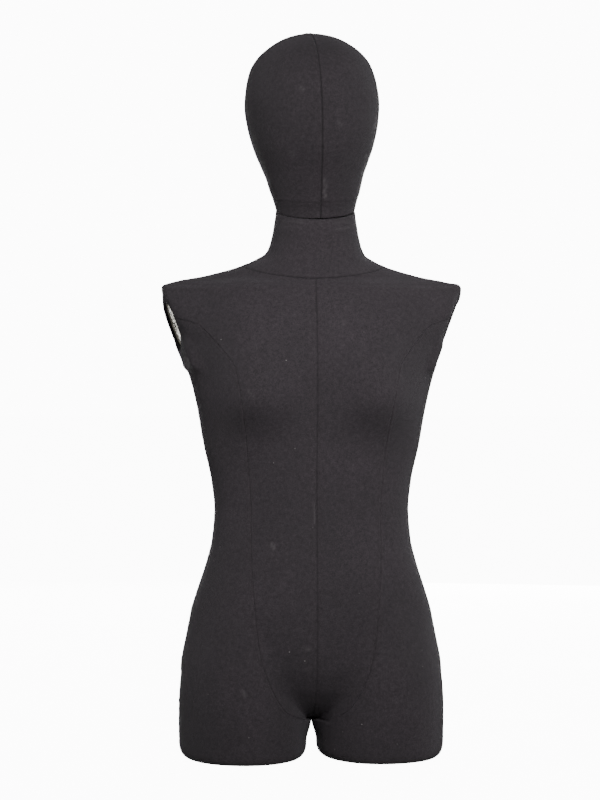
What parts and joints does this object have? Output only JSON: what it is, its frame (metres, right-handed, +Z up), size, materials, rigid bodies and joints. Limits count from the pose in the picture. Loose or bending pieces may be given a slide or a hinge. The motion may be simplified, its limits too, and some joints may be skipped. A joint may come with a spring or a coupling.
{
  "type": "dress form mannequin",
  "caption": "Female dress form with an egg-shaped faceless head, torso to mid thigh and metal arm plates, covered in stretch jersey, with a head that turns and lifts off.",
  "frame": {"origin": "on the floor, under the middle of the form's box", "axes": "+Z up, -Y the front that the face looks to, +X the form's own left side"},
  "size_m": [0.3873, 0.2296, 0.9349],
  "materials": {
    "jersey": "knitted, matt with a faint sheen",
    "foam": "moulded rigid foam skin",
    "arm_plate": "polished",
    "steel": "turned",
    "board": "sanded plywood",
    "nylon": "turned nylon"
  },
  "bodies": {
    "torso": {"body_core_left": "foam", "body_core_right": "foam", "cover_front_centre_left": "jersey", "cover_front_centre_right": "jersey", "cover_front_side_left": "jersey", "cover_front_side_right": "jersey", "cover_back_side_left": "jersey", "cover_back_side_right": "jersey", "cover_back_centre_left": "jersey", "cover_back_centre_right": "jersey", "collar_cover_left": "jersey", "collar_cover_right": "jersey", "armhole_rim_left": "jersey", "armhole_rim_right": "jersey", "arm_plate_left": "arm_plate", "arm_plate_right": "arm_plate", "arm_plate_screws": "steel", "neck_plate": "board", "neck_bush": "steel", "neck_plate_screws": "steel", "thigh_cap_left": "board", "thigh_cap_right": "board", "thigh_cap_screws": "steel", "stand_socket": "steel", "stand_socket_screws": "steel"},
    "washer": {"neck_washer": "nylon"},
    "head": {"head_core": "foam", "head_cover_left": "jersey", "head_cover_right": "jersey", "head_base_plate": "board", "head_pin": "steel", "head_base_screws": "steel"}
  },
  "joints": [
    {"name": "head_swivel", "type": "hinge", "parent": "torso", "child": "washer", "pos_m": [0.0055, -0.002, 0.704], "axis": [-0.0297, -0.2922, 0.9559], "continuous": true},
    {"name": "head_lift", "type": "slide", "parent": "washer", "child": "head", "axis": [-0.0297, -0.2922, 0.9559], "range_m": [0, 0.075]}
  ]
}
